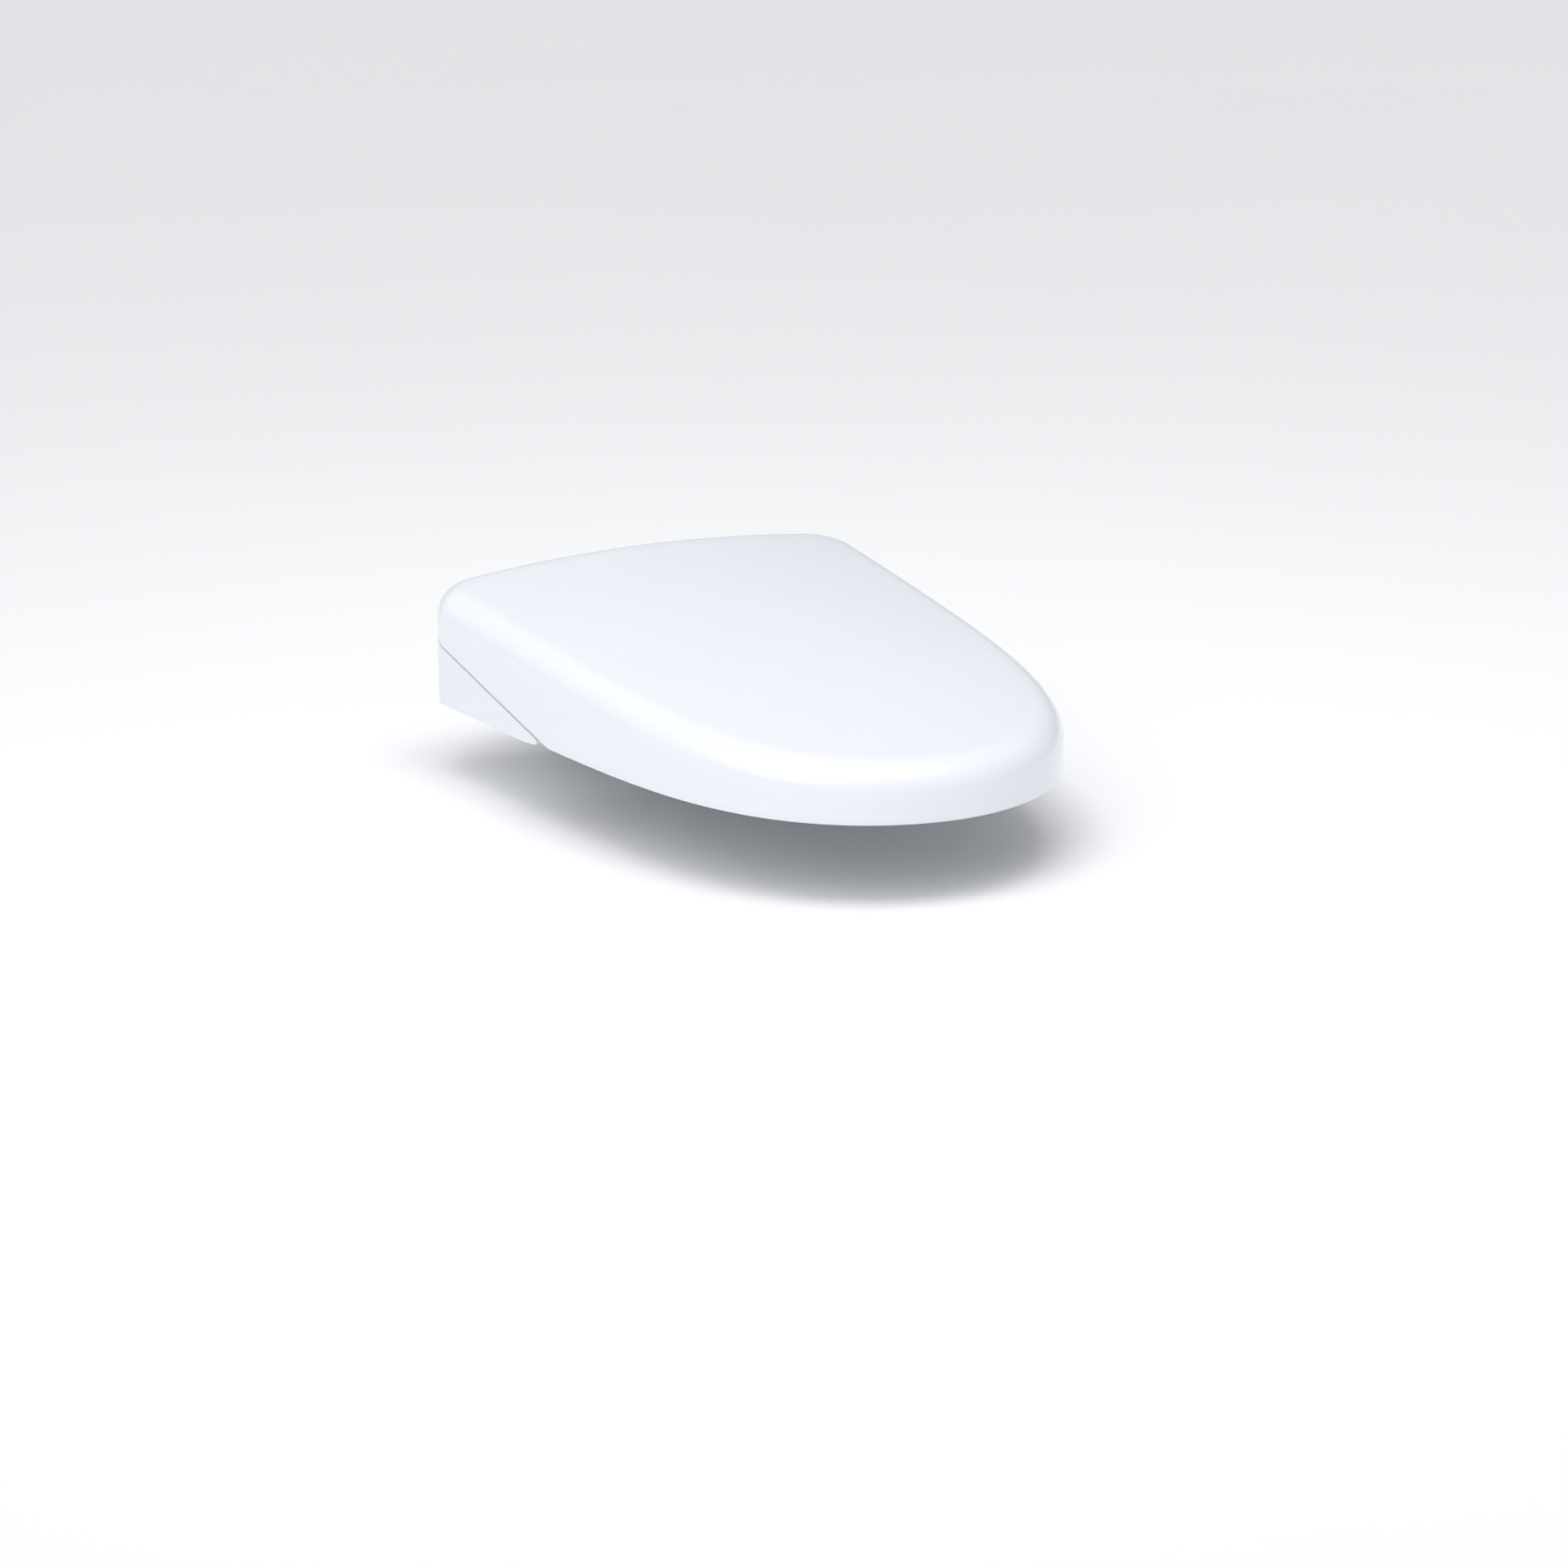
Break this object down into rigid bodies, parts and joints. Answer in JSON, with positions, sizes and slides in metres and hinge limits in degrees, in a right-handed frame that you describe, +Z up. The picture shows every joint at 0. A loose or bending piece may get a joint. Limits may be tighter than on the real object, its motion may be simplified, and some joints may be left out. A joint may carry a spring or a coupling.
{
  "type": "electric bidet seat",
  "caption": "Electric bidet toilet seat with heated hinged seat and lid, slide-out wash nozzle, warm-air dryer and a bolt-on docking plate.",
  "frame": {"origin": "midpoint between the two bowl bolts, in the plane of the toilet bowl's rim", "axes": "+X towards the user's left side seen facing forward from the tank, that is to the right when looking from the front towards the tank, +Y towards the tank, +Z up; the lid's front tip points along -Y"},
  "size_m": [0.386, 0.522, 0.1622],
  "materials": {
    "white_plastic": "gloss moulded white, faintly blue",
    "grey_plastic": "satin light grey",
    "soft_pad": "soft pale grey elastomer",
    "black_rubber": "black elastomer",
    "dark_plastic": "fine textured dark grey",
    "smoked_window": "smoked, polished",
    "clear_lens": "milky lens",
    "heater_foil": "satin foil",
    "circuit_board": "green solder mask",
    "steel": "brushed",
    "zinc_metal": "plated, dull"
  },
  "bodies": {
    "mount": {"mounting_plate": "grey_plastic", "plate_gasket": "black_rubber", "bolt_washers": "steel", "mounting_bolts": "steel"},
    "seat": {"seat_top": "white_plastic", "seat_bottom": "grey_plastic", "seat_heater": "heater_foil", "seat_bumpers": "soft_pad", "seat_arm_left": "white_plastic", "seat_arm_right": "white_plastic"},
    "lid": {"lid_shell": "white_plastic", "lid_ear_left": "white_plastic", "lid_ear_right": "white_plastic", "lid_bumpers": "soft_pad"},
    "nozzle": {"nozzle_wand": "white_plastic", "nozzle_tip": "white_plastic", "nozzle_rack": "grey_plastic"},
    "pinion": {"nozzle_pinion": "grey_plastic"},
    "dryer_fan": {"dryer_rotor": "grey_plastic"},
    "dryer_door": {"dryer_flap": "white_plastic"},
    "deodor_fan": {"deodor_rotor": "grey_plastic"},
    "filter": {"deodor_filter": "dark_plastic"},
    "release": {"release_button": "grey_plastic"},
    "power": {"power_key": "grey_plastic"},
    "base": {"base_pan": "white_plastic", "housing_cover": "white_plastic", "side_panel_left": "white_plastic", "side_panel_right": "white_plastic", "hinge_pin_left": "steel", "hinge_pin_right": "steel", "seat_damper": "zinc_metal", "lid_damper": "zinc_metal", "base_pads": "black_rubber", "case_screws": "steel", "water_inlet": "grey_plastic", "inlet_hose": "black_rubber", "inlet_valve": "dark_plastic", "heater_tank": "grey_plastic", "tank_hose": "black_rubber", "air_pump": "dark_plastic", "nozzle_guide": "grey_plastic", "nozzle_motor": "zinc_metal", "dryer_housing": "dark_plastic", "dryer_duct": "dark_plastic", "deodor_housing": "dark_plastic", "power_board": "circuit_board", "control_board": "circuit_board", "cord_gland": "grey_plastic", "receiver_window": "smoked_window", "status_lights": "clear_lens", "night_light": "clear_lens", "user_sensor": "smoked_window"}
  },
  "joints": [
    {"name": "dock_slide", "type": "slide", "parent": "mount", "child": "base", "axis": [0, -1, 0], "range_m": [0, 0.05]},
    {"name": "seat_hinge", "type": "hinge", "parent": "base", "child": "seat", "pos_m": [0, 0.031, 0.057], "axis": [1, 0, 0], "range_deg": [-98, 0]},
    {"name": "lid_hinge", "type": "hinge", "parent": "seat", "child": "lid", "pos_m": [0, 0.031, 0.057], "axis": [-1, 0, 0], "range_deg": [0, 105]},
    {"name": "nozzle_slide", "type": "slide", "parent": "base", "child": "nozzle", "axis": [0, -0.9063, -0.4226], "range_m": [0, 0.07]},
    {"name": "pinion_spin", "type": "hinge", "parent": "base", "child": "pinion", "pos_m": [0, -0.09007, 0.04922], "axis": [1, 0, 0], "range_deg": [-675, 0]},
    {"name": "dryer_fan_spin", "type": "hinge", "parent": "base", "child": "dryer_fan", "pos_m": [-0.1, -0.071, 0.02], "axis": [0, 0, 1], "continuous": true},
    {"name": "dryer_flap_hinge", "type": "hinge", "parent": "base", "child": "dryer_door", "pos_m": [-0.1, -0.106, 0.0394], "axis": [-1, 0, 0], "range_deg": [0, 32], "stiffness_Nm_per_rad": 0.01},
    {"name": "deodor_fan_spin", "type": "hinge", "parent": "base", "child": "deodor_fan", "pos_m": [0.08, -0.066, 0.016], "axis": [0, 0, 1], "continuous": true},
    {"name": "filter_slide", "type": "slide", "parent": "base", "child": "filter", "axis": [1, 0, 0], "range_m": [0, 0.06]},
    {"name": "release_press", "type": "slide", "parent": "base", "child": "release", "axis": [-1, 0, 0], "range_m": [0, 0.004], "stiffness_N_per_m": 500},
    {"name": "power_press", "type": "slide", "parent": "base", "child": "power", "axis": [-1, 0, 0], "range_m": [0, 0.0012], "stiffness_N_per_m": 800}
  ],
  "couplings": [
    {"joint": "pinion_spin", "follows": "nozzle_slide", "rad_per_m": -166.67}
  ]
}
